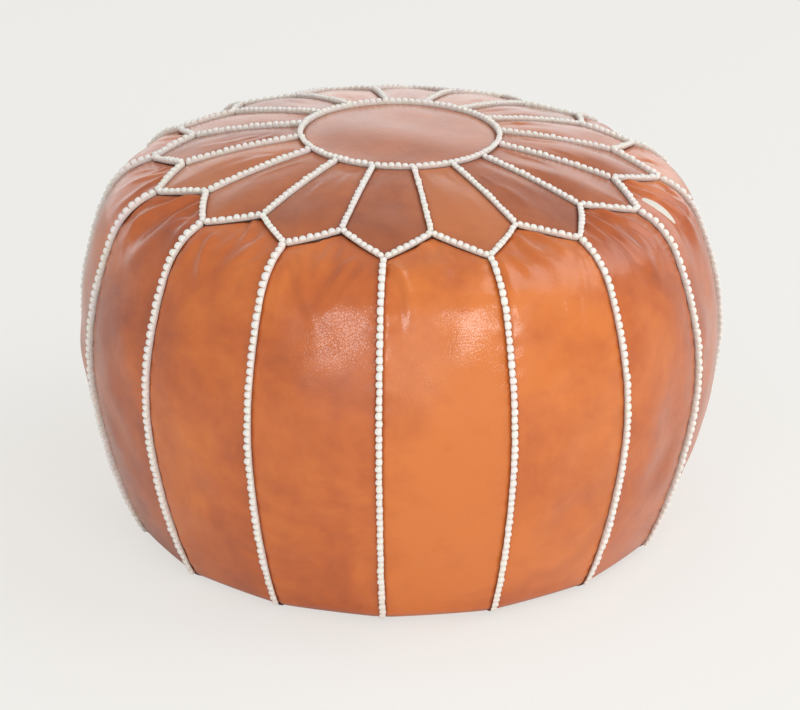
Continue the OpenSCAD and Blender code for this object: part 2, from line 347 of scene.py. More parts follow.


# leather: three tans mottled at two sizes, with painted shade beside the seams, pores and fine broken
# creases
def leatherMaterial(name, look, bump=1.0):
    material, shader, add, join = nodeTools(name)
    where = add("ShaderNodeTexCoord").outputs["Object"]

    def noise(scale, detail=4, rough=0.55, warp=0.0):
        n = add("ShaderNodeTexNoise")
        n.inputs["Scale"].default_value = scale
        n.inputs["Detail"].default_value = detail
        n.inputs["Roughness"].default_value = rough
        n.inputs["Distortion"].default_value = warp
        join(where, n.inputs["Vector"])
        return n.outputs["Fac"]

    def combine(operation, a, b):
        m = add("ShaderNodeMath", operation=operation)
        for socket, value in zip(m.inputs, (a, b)):
            if isinstance(value, (int, float)):
                socket.default_value = value
            else:
                join(value, socket)
        return m.outputs[0]

    def spread(value, low, high, outLow, outHigh):
        r = add("ShaderNodeMapRange", clamp=True)
        join(value, r.inputs["Value"])
        for key, v in zip(("From Min", "From Max", "To Min", "To Max"), (low, high, outLow, outHigh)):
            r.inputs[key].default_value = v
        return r.outputs[0]

    hide = add("ShaderNodeAttribute", attribute_name="hide").outputs["Fac"]
    seam = add("ShaderNodeAttribute", attribute_name="seamNear").outputs["Fac"]
    fine = combine("MULTIPLY", noise(look["mottle"] * 5, 3), 0.35)
    blotch = combine("ADD", noise(look["mottle"], 5, 0.6, 0.6), fine)
    blotch = combine("ADD", blotch, combine("MULTIPLY", hide, 0.32))
    ramp = add("ShaderNodeValToRGB")
    join(spread(blotch, 0.42, 0.94, 0.0, 1.0), ramp.inputs["Fac"])
    stops = ramp.color_ramp.elements
    stops[0].position, stops[1].position = 0.0, 1.0
    middle = stops.new(0.5)
    for stop, key in ((stops[0], "dark"), (middle, "middle"), (stops[2], "light")):
        stop.color = (*look[key], 1)
    # painted shade: the tans multiplied towards the seam shade colour close to each seam
    paintedSeamShade = add("ShaderNodeMix", data_type="RGBA", blend_type="MULTIPLY")
    join(combine("MULTIPLY", seam, look["seamShadeShare"]), paintedSeamShade.inputs[0])
    join(ramp.outputs["Color"], paintedSeamShade.inputs[6])
    paintedSeamShade.inputs[7].default_value = (*look["seamShadeTint"], 1)
    join(paintedSeamShade.outputs[2], shader.inputs["Base Color"])

    pores = add("ShaderNodeTexVoronoi")
    pores.inputs["Scale"].default_value = look["pores"]
    join(where, pores.inputs["Vector"])
    warp = add("ShaderNodeTexNoise")
    warp.inputs["Scale"].default_value = look["crackle"] / 5
    join(where, warp.inputs["Vector"])
    shift = add("ShaderNodeVectorMath", operation="MULTIPLY_ADD")
    join(warp.outputs["Color"], shift.inputs[0])
    shift.inputs[1].default_value = (0.006, 0.006, 0.006)
    join(where, shift.inputs[2])
    cracks = add("ShaderNodeTexVoronoi", feature="DISTANCE_TO_EDGE")
    cracks.inputs["Scale"].default_value = look["crackle"]
    join(shift.outputs[0], cracks.inputs["Vector"])
    lines = spread(cracks.outputs["Distance"], 0.0, 0.16, 0.0, 1.0)
    patches = spread(noise(14, 3), 0.42, 0.62, 0.15, 1.0)
    creases = combine("MULTIPLY", lines, patches)
    folds = noise(60, 5, 0.6, 1.2)

    dimples = combine("MULTIPLY", pores.outputs["Distance"], 0.25)
    height = combine("ADD", dimples, combine("MULTIPLY", creases, 0.32))
    height = combine("ADD", height, combine("MULTIPLY", folds, 1.6))
    normal = addRelief(add, join, shader, height, look["relief"] * bump, look["reliefDepth"])

    low, high = look["rough"]
    gloss = spread(noise(22, 4), 0.3, 0.7, low, high)
    join(combine("ADD", gloss, combine("MULTIPLY", seam, 0.2)), shader.inputs["Roughness"])
    shader.inputs["IOR"].default_value = 1.45
    shader.inputs["Coat Weight"].default_value = look["polish"]
    shader.inputs["Coat Roughness"].default_value = 0.13
    join(normal, shader.inputs["Coat Normal"])
    return material


threadLook = {"colour": (0.96, 0.93, 0.87), "shadow": (0.76, 0.67, 0.56), "strand": 0.55 * mm}


# thread: cream strands that wrap across the welt, with a soft sheen, and painted shade between the beads and
# under the welt
def threadMaterial(name, look):
    material, shader, add, join = nodeTools(name)
    uv = add("ShaderNodeUVMap", uv_map="surface").outputs["UV"]
    wave = add("ShaderNodeTexWave", wave_type="BANDS", bands_direction="X")
    wave.inputs["Scale"].default_value = 2 * math.pi / (20 * look["strand"])
    wave.inputs["Distortion"].default_value = 1.5
    wave.inputs["Detail"].default_value = 2
    join(uv, wave.inputs["Vector"])
    where = add("ShaderNodeTexCoord").outputs["Object"]
    soil = add("ShaderNodeTexNoise")
    soil.inputs["Scale"].default_value = 40
    join(where, soil.inputs["Vector"])
    paintedWeltShade = add("ShaderNodeAttribute", attribute_name="paintedWeltShade").outputs["Fac"]
    tone = add("ShaderNodeMix", data_type="RGBA")
    join(paintedWeltShade, tone.inputs[0])
    tone.inputs[6].default_value = (*look["colour"], 1)
    tone.inputs[7].default_value = (*look["shadow"], 1)
    tint = add("ShaderNodeMix", data_type="RGBA", blend_type="MULTIPLY")
    tint.inputs[0].default_value = 0.12
    join(tone.outputs[2], tint.inputs[6])
    join(soil.outputs["Color"], tint.inputs[7])
    join(tint.outputs[2], shader.inputs["Base Color"])
    addRelief(add, join, shader, wave.outputs["Fac"], 0.5, 0.3 * mm)
    shader.inputs["Roughness"].default_value = 0.62
    shader.inputs["Sheen Weight"].default_value = 0.25
    shader.inputs["Sheen Roughness"].default_value = 0.5
    return material


# plain fine-grained finish for the hidden and small pieces
def simpleMaterial(name, colour, roughness, scale, depth, metallic=0.0):
    material, shader, add, join = nodeTools(name)
    where = add("ShaderNodeTexCoord").outputs["Object"]
    grain = add("ShaderNodeTexNoise")
    grain.inputs["Scale"].default_value = scale
    grain.inputs["Detail"].default_value = 5
    join(where, grain.inputs["Vector"])
    tone = add("ShaderNodeMix", data_type="RGBA")
    join(grain.outputs["Fac"], tone.inputs[0])
    tone.inputs[6].default_value = (*[c * 0.75 for c in colour], 1)
    tone.inputs[7].default_value = (*[min(1, c * 1.2) for c in colour], 1)
    join(tone.outputs[2], shader.inputs["Base Color"])
    addRelief(add, join, shader, grain.outputs["Fac"], 0.35, depth)
    shader.inputs["Roughness"].default_value = roughness
    shader.inputs["Metallic"].default_value = metallic
    return material


sideLeather = leatherMaterial("sideLeather", leatherLook)
topLook = dict(leatherLook, light=(0.54, 0.150, 0.036), middle=(0.43, 0.108, 0.026),
               dark=(0.31, 0.070, 0.018))
topLeather = leatherMaterial("topLeather", topLook, 0.8)
thread = threadMaterial("seamThread", threadLook)
print("materials made")

panel = {
    "across": 56,
    "down": 210,
    # how far the middle stands out from the round outline, at arc lengths from the zigzag to the base
    "puffAt": np.array([0.0, 25, 70, 150, 210, 280, 330]) * mm,
    "puff": np.array([-1.0, -0.4, 1.0, 1.5, 1.3, 0.6, 0.0]) * mm,
    "chord": 2.8 * mm,        # how far the middle pulls in towards a straight line at the foot
    "tuck": 1.3 * mm,         # depth of the leather's dip into a seam
    "tuckWidth": 2.6 * mm,
    "lump": 0.9 * mm,
    "gather": 0.38 * mm,      # height of the small gathers beside a seam, and how far they reach
    "gatherReach": 9 * mm,
    "folds": 9,               # faint folds on each panel, with their sizes in millimetres
    "foldLength": (35, 95),
    "foldWidth": (3, 6),
    "foldHeight": (0.25, 0.8),
    "foldBow": (-5, 5),
    "settle": 26 * mm,        # distance from a seam over which the lumps grow
    "calmFrom": 250 * mm,     # the lumps fade out below this length, over the next one
    "calmOver": 60 * mm,
    "chordHigh": 90 * mm,     # the chord grows from this height down to the next
    "chordLow": 8 * mm,
    "rimFade": 18 * mm,       # before the base's edge, where the chord ends
    "underFade": 20 * mm,     # and where all the lift ends
}

# folds that stand out, as (panel, start, end, width, height, bow); x across the panel from its middle,
# y down from the spoke end, in millimetres
clearFolds = [
    (10, (2, 4), (-32, 100), 5.0, 4.2, 5),
    (10, (10, 6), (-8, 112), 6.5, 2.8, -6),
    (10, (-20, 30), (-40, 92), 4.5, 2.2, 3),
    (10, (22, 28), (16, 100), 6.0, 1.4, 4),
    (11, (-24, 36), (-6, 92), 4.5, 1.8, 3),
    (11, (18, 22), (2, 84), 6.0, 1.5, -4),
    (11, (-6, 4), (12, 60), 3.5, 1.2, -4),
    (12, (20, 30), (8, 78), 4.0, 1.1, 3),
    (12, (-26, 34), (-14, 90), 5.0, 0.9, -3),
    (13, (-38, 38), (-26, 52), 5.5, 2.4, 2),
    (13, (10, 14), (-2, 62), 6.0, 0.6, 3),
    (14, (-8, 8), (14, 74), 5.5, 1.3, 4),
    (14, (-26, 32), (-8, 70), 4.5, 0.8, 2),
    (14, (4, 4), (30, 62), 4.0, 1.0, -3),
    (15, (-4, 6), (16, 112), 5.5, 2.2, 6),
    (15, (6, 5), (34, 88), 4.5, 1.9, -4),
    (15, (-16, 20), (-10, 90), 5.0, 1.4, 4),
    (16, (0, 5), (18, 124), 5.5, 3.2, 6),
    (16, (8, 5), (36, 100), 4.5, 2.6, 4),
    (16, (-10, 12), (-2, 130), 6.5, 2.0, -5),
]

# how light each panel's hide is, from -1 to 1, and each petal's
panelTones = [0.1, -0.2, 0.35, 0.0, -0.35, 0.2, -0.1, 0.3, -0.3, -0.55, -0.05, 0.25, 0.7, 0.5, -0.1, 0.0]
petalTones = [0.2, -0.3, 0.3, -0.1, 0.4, -0.4, 0.1, -0.2, 0.3, 0.1, 0.0, -0.1, 0.8, -0.3, -0.1, -0.1]


# how far a side panel stands off the outline: puff across it, chord at the foot, a dip at each seam,
# small gathers beside the seams, folds from the corners and slow lumps of the filling
def sidePanelLift(k, theta, u, s, top):
    half = radiusAt(s) * pitch / 2
    x, y = u * half, s - lengthAtRadius(cover["spokeEnd"])
    toSide = half * (1 - np.abs(u))
    toTop = (s - top) * 0.86
    toSeam = np.minimum(toSide, toTop)
    bulge = np.interp(y, panel["puffAt"], panel["puff"]) * (1 - np.abs(u) ** 2.2)
    lift = bulge - panel["tuck"] * np.exp(-(toSeam / panel["tuckWidth"]) ** 2)
    rng = np.random.default_rng(40 + k)
    for side in (-1, 1):
        along = s + 4 * mm * np.sin(s / (17 * mm) + rng.uniform(0, 6))
        gather = np.sin(along * 2 * math.pi / (rng.uniform(15, 21) * mm) + rng.uniform(0, 6))
        near = np.exp(-((half * (1 - side * u)) / panel["gatherReach"]) ** 2)
        lift = lift + panel["gather"] * gather * near * np.clip(toSide / (2 * mm), 0, 1)
    for _ in range(panel["folds"]):
        side = rng.choice([-1, 1])
        corner = rng.random() < 0.5
        x0 = side * rng.uniform(2, 14) * mm if corner else side * rng.uniform(28, 40) * mm
        y0 = rng.uniform(2, 12) * mm if corner else rng.uniform(34, 50) * mm
        turn = side * rng.uniform(-0.15, 0.55) * (1 if corner else -1)
        length = rng.uniform(*panel["foldLength"]) * mm
        end = (x0 + math.sin(turn) * length, y0 + math.cos(turn) * length)
        lift = lift + fold(x, y, (x0, y0), end, rng.uniform(*panel["foldWidth"]) * mm,
                           rng.uniform(*panel["foldHeight"]) * mm, rng.uniform(*panel["foldBow"]) * mm)
    for number, start, end, width, height, bow in clearFolds:
        if number == k + 1:
            # x runs towards larger angles, which is to the right from the front
            lift = lift + fold(x, y, np.array(start) * mm, np.array(end) * mm, width * mm,
                               height * mm, bow * mm)
    foot = np.clip((y - panel["calmFrom"]) / panel["calmOver"], 0, 1)
    calm = 1 - foot * foot
    settle = 1 - np.exp(-(toSeam / panel["settle"]) ** 2)
    spot = coverPoint(theta, s)
    slow = lumps(spot, 105 * mm, 5) + 0.45 * lumps(spot, 46 * mm, 6)
    lift = lift + panel["lump"] * slow * settle * calm
    highS, lowS = lengthAtHeight(panel["chordHigh"]), lengthAtHeight(panel["chordLow"])
    low = np.clip((s - highS) / (lowS - highS), 0, 1)
    rim = np.clip((outS[-1] - s) / panel["rimFade"] - 0.1, 0, 1)
    push = -panel["chord"] * (1 - u ** 2) * low ** 1.5 * rim
    under = np.clip((lengthAtHeight(0.5 * mm) - s) / panel["underFade"], 0, 1)
    return lift * under, push, toSeam


# a side panel runs from the zigzag down and under to the base's edge, between two seams
def sidePanel(k):
    u, v = np.meshgrid(edgeSpread(panel["across"]), (edgeSpread(panel["down"], 0.55) + 1) / 2)
    centre = cover["turn"] + k * pitch
    theta = centre + u * (pitch / 2)
    edge = lengthAtRadius(zigzagRadius(theta)) + cover["gap"]
    s = edge + v * (outS[-1] - cover["baseSeam"] - edge)
    theta = centre + u * (pitch / 2 - cover["gap"] / radiusAt(s))
    lift, push, toSeam = sidePanelLift(k, theta, u, s, edge)
    points = coverPoint(theta, s, lift, push)
    points[..., 2] = np.maximum(points[..., 2], 0.0)
    obj = addMesh("sidePanel%02d" % (k + 1), points.reshape(-1, 3),
                  gridFaces(panel["down"], panel["across"])[:, ::-1])
    setFloat(obj, "seamNear", seamNear(toSeam))
    setFloat(obj, "hide", np.full(u.size, panelTones[k]))
    thicken(obj, cover["leather"])
    return place(obj, "cover", "side_leather", sideLeather, panelNames[k])


for k in range(cover["panels"]):
    sidePanel(k)
print("side panels made")

petal = {
    "across": 40,
    "out": 72,
    "puff": 3.0 * mm,
    "tuck": 1.1 * mm,
    "tuckWidth": 2.4 * mm,
    "lump": 0.5 * mm,
    "folds": 4,
}


# a petal runs from the medallion's seam to the zigzag, between two spokes
def petalPiece(k):
    u, v = np.meshgrid(edgeSpread(petal["across"]), (edgeSpread(petal["out"], 0.8) + 1) / 2)
    centre = cover["turn"] + (k + 0.5) * pitch
    theta = centre + u * (pitch / 2)
    start = lengthAtRadius(cover["medallionRadius"]) + cover["gap"]
    edge = lengthAtRadius(zigzagRadius(theta)) - cover["gap"]
    s = start + v * (edge - start)
    theta = centre + u * (pitch / 2 - cover["gap"] / radiusAt(s))
    half = radiusAt(s) * pitch / 2
    toSide = half * (1 - np.abs(u))
    toSeam = np.minimum(toSide, np.minimum(s - start, (edge - s) * 0.9))
    rng = np.random.default_rng(300 + k)
    arch = np.sin(math.pi * np.clip(v, 0, 1) ** 1.25)
    lift = petal["puff"] * (1 - u ** 2) * arch * rng.uniform(0.75, 1.15)
    lift = lift - petal["tuck"] * np.exp(-(toSeam / petal["tuckWidth"]) ** 2)
    x, y = u * half, s - start
    for _ in range(petal["folds"]):
        side = rng.choice([-1, 1])
        begin = (side * rng.uniform(4, 12) * mm, rng.uniform(2, 60) * mm)
        turn = side * rng.uniform(-0.1, 0.4)
        length = rng.uniform(25, 60) * mm
        end = (begin[0] + math.sin(turn) * length, begin[1] + math.cos(turn) * length)
        lift = lift + fold(x, y, begin, end, rng.uniform(2.5, 5) * mm, rng.uniform(0.1, 0.35) * mm,
                           rng.uniform(-3, 3) * mm)
    spot = coverPoint(theta, s)
    settle = 1 - np.exp(-(toSeam / (14 * mm)) ** 2)
    lift = lift + petal["lump"] * lumps(spot, 60 * mm, 8) * settle
    points = coverPoint(theta, s, lift)
    obj = addMesh("petal%02d" % (k + 1), points.reshape(-1, 3),
                  gridFaces(petal["out"], petal["across"])[:, ::-1])
    setFloat(obj, "seamNear", seamNear(toSeam))
    setFloat(obj, "hide", np.full(u.size, petalTones[k]))
    thicken(obj, cover["leather"])
    return place(obj, "cover", "top_leather", topLeather, petalNames[k])


for k in range(cover["panels"]):
    petalPiece(k)

medallion = {"around": 128, "out": 44, "tuck": 1.0 * mm, "tuckWidth": 2.4 * mm, "lump": 0.35 * mm}


# the medallion is a closed disc of rings round one middle point
def medallionPiece():
    rows, cols = medallion["out"], medallion["around"]
    end = lengthAtRadius(cover["medallionRadius"]) - cover["gap"]
    v = np.sin(np.linspace(0.02, 1, rows) * math.pi / 2)[:, None]
    theta = np.broadcast_to(np.arange(cols) * 2 * math.pi / cols, (rows, cols))
    s = np.broadcast_to(v * end, (rows, cols))
    toSeam = end - s
    lift = -medallion["tuck"] * np.exp(-(toSeam / medallion["tuckWidth"]) ** 2)
    spot = coverPoint(theta, s)
    settle = 1 - np.exp(-(toSeam / (12 * mm)) ** 2)
    lift = lift + medallion["lump"] * lumps(spot, 70 * mm, 12) * settle
    points = coverPoint(theta, s, lift).reshape(-1, 3)
    middle = points[:cols].mean(0)
    points = np.vstack([points, middle])
    faces = gridFaces(rows, cols, True)[:, ::-1].tolist() + fanFaces(rows * cols, 0, cols)
    obj = addMesh("medallion", points, faces)
    near = np.append(seamNear(toSeam).ravel(), 0)
    setFloat(obj, "seamNear", near)
    setFloat(obj, "hide", np.full(len(points), 0.1))
    thicken(obj, cover["leather"])
    return place(obj, "cover", "top_leather", topLeather, "top_medallion")


medallionPiece()
print("top made")

welt = {
    "pitch": 6.2 * mm,       # from bead to bead
    "perBead": 12,
    "around": 14,
    "stem": 1.5 * mm,        # half width of the wrapped band
    "stemHeight": 2.7 * mm,
    "bead": 2.95 * mm,       # half width of a bead
    "beadHeight": 5.2 * mm,
    "beadThick": 3.9 * mm,
    "beadShare": 0.9,        # share of the pitch that a bead fills
    "lean": 0.45 * mm,       # the knots sit to one side of the crest
    "sunk": 1.6 * mm,        # how far the band reaches down between the leathers
    "wander": 0.10,          # how far a bead strays along the seam, as a share of the pitch
    "spread": (0.90, 1.08),  # smallest and largest bead
    "leanSpread": 0.35,
    "endRound": 3 * mm,
    "endSink": 0.45,         # how much lower a faded end lies
    "medallionSize": 0.9,    # sizes of the welts on top, against those on the side
    "spokeSize": 0.88,
    "edgeSize": 0.95,
}


# a welt is a round section carried along a seam. Its lower half is a plain band; its upper half swells
# into a bead and back once for each stitch
def weltMesh(centre, normal, length, size=1.0, closed=False, seed=1, fadeEnd=0.0):
    rng = np.random.default_rng(seed)
    n = len(centre)
    tangent = np.roll(centre, -1, 0) - np.roll(centre, 1, 0)
    if not closed:
        tangent[0], tangent[-1] = centre[1] - centre[0], centre[-1] - centre[-2]
    tangent /= np.linalg.norm(tangent, axis=1, keepdims=True)
    across = np.cross(tangent, normal)
    across /= np.linalg.norm(across, axis=1, keepdims=True)
    t = np.linspace(0, length, n, endpoint=not closed)
    stitches = max(1, round(length / (welt["pitch"] * size)))
    beadAt = t / length * stitches
    stray = rng.uniform(-1, 1, stitches + 2)
    wander = welt["wander"] * np.interp(beadAt, np.arange(stitches + 2), stray)
    if closed:
        wander = wander * 0
    inBead = 2 * ((beadAt + wander) % 1.0) - 1
    swell = np.sqrt(np.clip(1 - (inBead / welt["beadShare"]) ** 2, 0, 1)) ** 0.8
    which = np.floor(beadAt + wander).astype(int) % (stitches + 1)
    big = rng.uniform(*welt["spread"], stitches + 1)[which]
    lean = welt["lean"] + rng.uniform(-welt["leanSpread"], welt["leanSpread"], stitches + 1)[which] * mm
    ends = np.ones(n)
    if not closed:
        toEnd = np.clip(np.minimum(t, length - t) / welt["endRound"], 0, 1)
        ends = np.sqrt(np.clip(1 - (1 - toEnd) ** 2, 0.003, 1))
    low = np.ones(n)
    if fadeEnd:
        low = 1 - welt["endSink"] * np.clip((t - (length - fadeEnd)) / fadeEnd, 0, 1)
    phi = np.arange(welt["around"]) * 2 * math.pi / welt["around"]
    up, side = np.sin(phi)[None, :], np.cos(phi)[None, :]
    upper = np.clip((up + 0.55) / 0.85, 0, 1)
    upper = upper * upper * (3 - 2 * upper) * swell[:, None]
    stemMid = (welt["stemHeight"] - welt["sunk"]) / 2
    stemHalf = (welt["stemHeight"] + welt["sunk"]) / 2
    beadHalf = welt["beadThick"] / 2
    beadMid = welt["beadHeight"] - beadHalf
    a = welt["stem"] * side * (1 - upper) + welt["bead"] * big[:, None] * side * upper
    b = (stemMid + stemHalf * up) * (1 - upper) + (beadMid + beadHalf * up) * big[:, None] * upper
    a = (a * size + lean[:, None] * upper) * ends[:, None]
    b = b * size * ends[:, None] * low[:, None]
    points = centre[:, None, :] + across[:, None, :] * a[..., None] + normal[:, None, :] * b[..., None]
    cols = welt["around"]
    last = (n - 1) * cols
    faces = gridFaces(n, cols, True).tolist()
    flat = points.reshape(-1, 3)
    if closed:
        j = np.arange(cols)
        k = (j + 1) % cols
        faces += np.stack([last + j, last + k, k, j], -1).tolist()
    else:
        flat = np.vstack([flat, centre[:1], centre[-1:]])
        faces += fanFaces(n * cols, 0, cols, True) + fanFaces(n * cols + 1, last, cols)
    # painted shade: darker where the band dips between the beads and on the welt's underside
    shade = np.clip(1 - swell, 0, 1)[:, None] ** 2 * np.clip(up + 0.4, 0, 1) + np.clip(-up - 0.2, 0, 1)
    shade = np.broadcast_to(shade, (n, cols)).ravel()
    uv = np.stack([np.broadcast_to(t[:, None], (n, cols)).ravel(),
                   np.broadcast_to(phi[None, :] * 0.003, (n, cols)).ravel()], -1)
    extra = len(flat) - len(shade)
    shade = np.append(shade, np.ones(extra))
    uv = np.vstack([uv, np.zeros((extra, 2))])
    return flat, faces, shade, uv


# sample a seam, given as angle and arc length at each step, and build its welt
def seamWelt(theta, s, **how):
    centre = coverPoint(theta, s)
    lifted = coverPoint(theta, s, 1 * mm)
    normal = (lifted - centre) / mm
    length = np.linalg.norm(np.diff(centre, axis=0), axis=1).sum()
    if how.get("closed"):
        length += np.linalg.norm(centre[0] - centre[-1])
    return weltMesh(centre, normal, length, **how)


# the same seam at even distances, with enough steps for every bead
def evenSteps(theta, s, size=1.0):
    centre = coverPoint(theta, s)
    t = np.concatenate([[0], np.cumsum(np.linalg.norm(np.diff(centre, axis=0), axis=1))])
    count = max(8, int(t[-1] / (welt["pitch"] * size) * welt["perBead"]))
    at = np.linspace(0, t[-1], count)
    return np.interp(at, t, theta), np.interp(at, t, s)


# several welts as one piece, with the painted shade of each point and its place along the seam
def weltObject(name, parts, *replaced):
    obj = joined(name, [part[:2] for part in parts])
    setFloat(obj, "paintedWeltShade", np.concatenate([part[2] for part in parts]))
    setUv(obj, np.vstack([part[3] for part in parts]))
    return place(obj, "cover", "seam_thread", thread, *replaced)


# the ring round the medallion
def medallionWelt():
    size = welt["medallionSize"]
    steps = int(2 * math.pi * cover["medallionRadius"] / (welt["pitch"] * size) * welt["perBead"])
    theta = np.arange(steps) * 2 * math.pi / steps
    s = np.full(steps, float(lengthAtRadius(cover["medallionRadius"])))
    part = seamWelt(theta, s, size=size, closed=True, seed=3)
    return weltObject("medallionWelt", [part], "medallion_braid")


# straight welts from the medallion out to the zigzag's inner corners
def spokeWelts():
    parts = []
    size = welt["spokeSize"]
    for k in range(cover["panels"]):
        angle = cover["turn"] + k * pitch
        s = np.linspace(lengthAtRadius(cover["medallionRadius"]) + 2 * mm,
                        lengthAtRadius(cover["spokeEnd"]) - 1 * mm, 60)
        theta, s = evenSteps(np.full(60, angle), s, size)
        parts.append(seamWelt(theta, s, size=size, seed=20 + k))
    return weltObject("spokeWelts", parts, "spoke_braids")


# one welt for each half of a petal's zigzag edge
def petalEdgeWelts():
    parts = []
    size = welt["edgeSize"]
    for k in range(2 * cover["panels"]):
        theta = cover["turn"] + (k + np.linspace(0.001, 0.999, 40)) * pitch / 2
        s = lengthAtRadius(zigzagRadius(theta))
        theta, s = evenSteps(theta, s, size)
        parts.append(seamWelt(theta, s, size=size, seed=60 + k))
    return weltObject("petalEdgeWelts", parts, "petal_edge_braid")


sideWelt = {"endHeight": 7 * mm, "fade": 60 * mm}


# a welt from each petal's tip down to the foot
def sideWelts():
    for k in range(cover["panels"]):
        angle = cover["turn"] + (k + 0.5) * pitch
        start = lengthAtRadius(cover["petalTip"] + cover["tipDrift"][k]) + 1 * mm
        s = np.linspace(start, lengthAtHeight(sideWelt["endHeight"]), 200)
        theta, s = evenSteps(np.full(200, angle), s)
        part = seamWelt(theta, s, seed=100 + k, fadeEnd=sideWelt["fade"])
        weltObject("sideWelt%02d" % (k + 1), [part], "side_braids")


medallionWelt()
spokeWelts()
petalEdgeWelts()
sideWelts()
print("welts made")

baseLook = dict(leatherLook, light=(0.30, 0.10, 0.035), middle=(0.24, 0.075, 0.025),
                dark=(0.17, 0.05, 0.018))
baseLeather = leatherMaterial("baseLeather", baseLook, 1.2)
brass = simpleMaterial("zipBrass", (0.62, 0.45, 0.20), 0.32, 300, 0.00005, 1.0)
coilPlastic = simpleMaterial("zipCoil", (0.19, 0.09, 0.045), 0.45, 500, 0.0001)
pipingLeather = simpleMaterial("basePiping", (0.07, 0.03, 0.018), 0.6, 400, 0.0004)
cotton = simpleMaterial("linerCotton", (0.78, 0.74, 0.66), 0.9, 700, 0.0004)
wadding = simpleMaterial("fillingWadding", (0.86, 0.84, 0.78), 0.95, 120, 0.004)

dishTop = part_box("zip_tape_front")[0].z
tapeLow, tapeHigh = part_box("zip_tape_front")
coilLow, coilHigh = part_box("zip_coil_back")

base = {
    "columns": 150,
    "rows": 64,
    "flat": 155 * mm,         # radius of the dish's flat middle
    "slope": 15 * mm,
    "slit": (134 * mm, 5 * mm),
    "middleGap": 0.6 * mm,
    "wave": 0.35 * mm,
}


# height of the dished base over the floor: level, an S-shaped slope, then flat on the floor
def dishHeight(r):
    t = np.clip((r - base["flat"]) / base["slope"], 0, 1)
    return dishTop * (1 - t * t * (3 - 2 * t)) + cover["leather"] * t * t * (3 - 2 * t)


# a base half is a grid of lines that run from the slit's edge straight out to the round seam
def baseHalf(name, side, node):
    rim = baseEdge
    t = np.linspace(0.012, math.pi - 0.012, base["columns"])
    x = -rim * np.cos(t)
    halfLength, halfWidth = base["slit"]
    edge = 1 - np.clip((np.abs(x) - halfLength) / (1.5 * mm), 0, 1)
    inner = base["middleGap"] + (halfWidth - base["middleGap"]) * edge
    outer = np.maximum(np.sqrt(rim ** 2 - x ** 2), inner + 0.2 * mm)
    v = np.linspace(0, 1, base["rows"])[:, None] ** 1.25
    y = inner + (outer - inner) * v
    x = np.broadcast_to(x, y.shape)
    r = np.hypot(x, y)
    fromSlit = (y - inner) * np.ones_like(x)
    z = dishHeight(r)
    spot = np.stack([x, side * y, z * 0], -1)
    calm = np.clip(fromSlit / (20 * mm), 0, 1) * np.clip((base["flat"] - r) / (20 * mm), 0, 1)
    z = z - base["wave"] * (1 + lumps(spot, 70 * mm, 21)) * 0.5 * calm
    points = np.stack([x, side * y, z], -1)
    faces = gridFaces(base["rows"], base["columns"])
    obj = addMesh(name, points.reshape(-1, 3), faces if side > 0 else faces[:, ::-1])
    # painted shade at the base's rim, and a darker line along the slit's stitching, both through the seam
    # shade mask
    stitch = np.exp(-((fromSlit - 3 * mm) / (1.2 * mm)) ** 2) * (np.abs(x) < halfLength)
    rimNear = np.exp(-((rim - r) / (3 * mm)) ** 2)
    setFloat(obj, "seamNear", np.maximum(stitch * 0.7, rimNear))
    setFloat(obj, "hide", np.full(x.size, 0.1 * side))
    thicken(obj, cover["leather"])
    return place(obj, "cover", "base_leather", baseLeather, node)


# a tube along a path: a ring of points round each step, closed or with rounded ends
def tube(path, radius, around=8, closed=False, up=(0, 0, 1)):
    path = np.asarray(path, float)
    n = len(path)
    tangent = np.roll(path, -1, 0) - np.roll(path, 1, 0)
    if not closed:
        tangent[0], tangent[-1] = path[1] - path[0], path[-1] - path[-2]
    tangent /= np.linalg.norm(tangent, axis=1, keepdims=True)
    side = np.cross(tangent, np.asarray(up, float))
    side /= np.maximum(np.linalg.norm(side, axis=1, keepdims=True), 1e-9)
    top = np.cross(side, tangent)
    phi = np.arange(around) * 2 * math.pi / around
    points = path[:, None] + radius * (side[:, None] * np.cos(phi)[None, :, None]
                                       + top[:, None] * np.sin(phi)[None, :, None])
    faces = gridFaces(n, around, True)[:, ::-1].tolist()
    flat = points.reshape(-1, 3)
    last = (n - 1) * around
    if closed:
        j = np.arange(around)
        k = (j + 1) % around
        faces += np.stack([last + k, last + j, j, k], -1).tolist()
    else:
        cap = radius * 0.7
        flat = np.vstack([flat, path[:1] - tangent[:1] * cap, path[-1:] + tangent[-1:] * cap])
        faces += fanFaces(n * around, 0, around) + fanFaces(n * around + 1, last, around, True)
    return flat, faces


zipLook = {
    "rows": 9,
    "columns": 140,
    "inner": 0.8 * mm,       # from the middle to a tape's edge
    "pitch": 3 * mm,
    "wire": 0.42 * mm,
    "hook": 1.0 * mm,
    "stitch": 3.2 * mm,      # from stitch to stitch, with a stitch's length, place, dip and thread
    "stitchLength": 2.2 * mm,
    "stitchAt": 1.9 * mm,
    "stitchDip": 0.1 * mm,
    "threadRadius": 0.2 * mm,
    "keep": 0.87,
}


